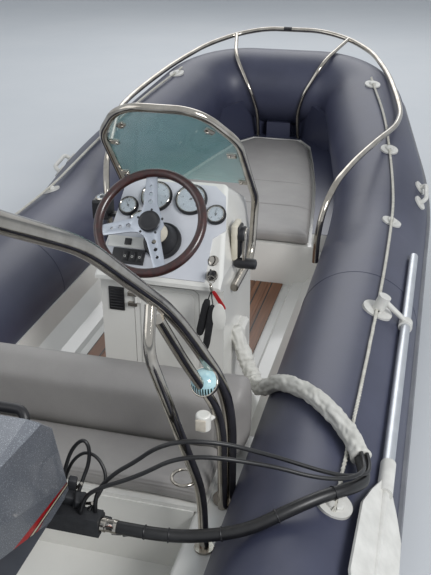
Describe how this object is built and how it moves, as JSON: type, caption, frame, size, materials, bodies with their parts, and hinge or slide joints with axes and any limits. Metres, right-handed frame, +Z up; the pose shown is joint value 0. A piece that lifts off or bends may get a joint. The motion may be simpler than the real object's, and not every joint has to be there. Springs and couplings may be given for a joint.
{
  "type": "rigid inflatable boat",
  "caption": "Open rigid inflatable boat with a side console, stern bench, bow cushion, stainless rails and arch, oars along the tubes and a steerable, tilting outboard.",
  "frame": {"origin": "on the centreline at the waterline, in the transom's aft face", "axes": "+Y to the bow, +X to starboard, +Z up"},
  "size_m": [1.8572, 4.5369, 1.998],
  "materials": {
    "black_plastic": "satin",
    "cable_black": "matte",
    "clear_pane": "clear",
    "cone_fabric": "coated",
    "cowl_grey": "metallic",
    "dash_grey": "satin",
    "engine_dark": "matte",
    "engine_grey": "satin",
    "fitting_white": "satin",
    "gelcoat": "gloss",
    "grey_leather": "satin",
    "lamp_cream": "gloss",
    "lamp_white": "gloss",
    "mahogany": "varnished",
    "oar_aluminium": "satin",
    "propeller_white": "gloss",
    "rope_white": "woven",
    "sleeve_white": "woven",
    "spoke_aluminium": "brushed",
    "steel": "polished",
    "strake_rubber": "matte",
    "teak": "oiled",
    "tube_fabric": "coated"
  },
  "bodies": {
    "hull": {"arch_braces": "steel", "arch_feet": "steel", "bench_bolster": "grey_leather", "bench_box": "gelcoat", "bow_cushion": "grey_leather", "bow_locker": "gelcoat", "bow_rail": "steel", "bow_skirt": "tube_fabric", "cable_loom": "cable_black", "cable_outlet": "fitting_white", "cable_trunk": "sleeve_white", "clamp_bracket": "engine_grey", "compass": "black_plastic", "cone_port": "cone_fabric", "cone_starboard": "cone_fabric", "console_body": "gelcoat", "control_cable_a": "cable_black", "control_cable_b": "cable_black", "dash_panel": "dash_grey", "deck_light": "lamp_white", "door_hinges": "steel", "engine_control": "black_plastic", "gauges": "black_plastic", "grab_line_port": "rope_white", "grab_line_starboard": "rope_white", "helm": "black_plastic", "hull_shell": "gelcoat", "ignition_switch": "black_plastic", "lifting_handles": "fitting_white", "line_holders": "fitting_white", "oar_blades": "fitting_white", "oar_shafts": "oar_aluminium", "oarlocks": "fitting_white", "rail_uprights": "steel", "ring_holder": "steel", "rubbing_strake": "strake_rubber", "seat_board": "gelcoat", "seat_cushion": "grey_leather", "side_decks": "gelcoat", "sole_planks": "teak", "stern_arch": "steel", "stern_lamp": "lamp_cream", "switch_panel": "black_plastic", "tube_bow": "tube_fabric", "tube_port": "tube_fabric", "tube_starboard": "tube_fabric", "windscreen_frame": "steel", "windscreen_pane": "clear_pane"},
    "door": {"console_door": "gelcoat"},
    "wheel": {"wheel_rim": "mahogany", "wheel_spokes": "spoke_aluminium"},
    "swivel": {"swivel_bracket": "engine_grey"},
    "engine": {"cable_bracket": "engine_dark", "cowl": "cowl_grey", "cowl_handle": "black_plastic", "engine_block": "engine_dark", "engine_pan": "engine_grey", "gearcase": "engine_grey", "midsection": "engine_grey"},
    "propeller": {"propeller": "propeller_white"}
  },
  "joints": [
    {"name": "outboard_tilt", "type": "hinge", "parent": "hull", "child": "swivel", "pos_m": [0, -0.03, 0.3], "axis": [-1, 0, 0], "range_deg": [0, 50], "deforming": ["cable_loom", "control_cable_a", "control_cable_b"]},
    {"name": "outboard_steer", "type": "hinge", "parent": "swivel", "child": "engine", "pos_m": [0, -0.095, 0.2], "axis": [0, 0, 1], "range_deg": [-30, 30], "deforming": ["cable_loom", "control_cable_a", "control_cable_b"]},
    {"name": "propeller_spin", "type": "hinge", "parent": "engine", "child": "propeller", "pos_m": [0, -0.38, -0.33], "axis": [0, 1, 0], "continuous": true},
    {"name": "steering_wheel", "type": "hinge", "parent": "hull", "child": "wheel", "pos_m": [0.146, 0.92433, 0.87959], "axis": [0, -0.7193, 0.6947], "range_deg": [-450, 450]},
    {"name": "console_door", "type": "hinge", "parent": "hull", "child": "door", "pos_m": [0.0695, 0.983, 0.46], "axis": [0, 0, -1], "range_deg": [0, 40]}
  ],
  "couplings": [
    {"joint": "steering_wheel", "follows": "outboard_steer", "ratio": -15}
  ]
}
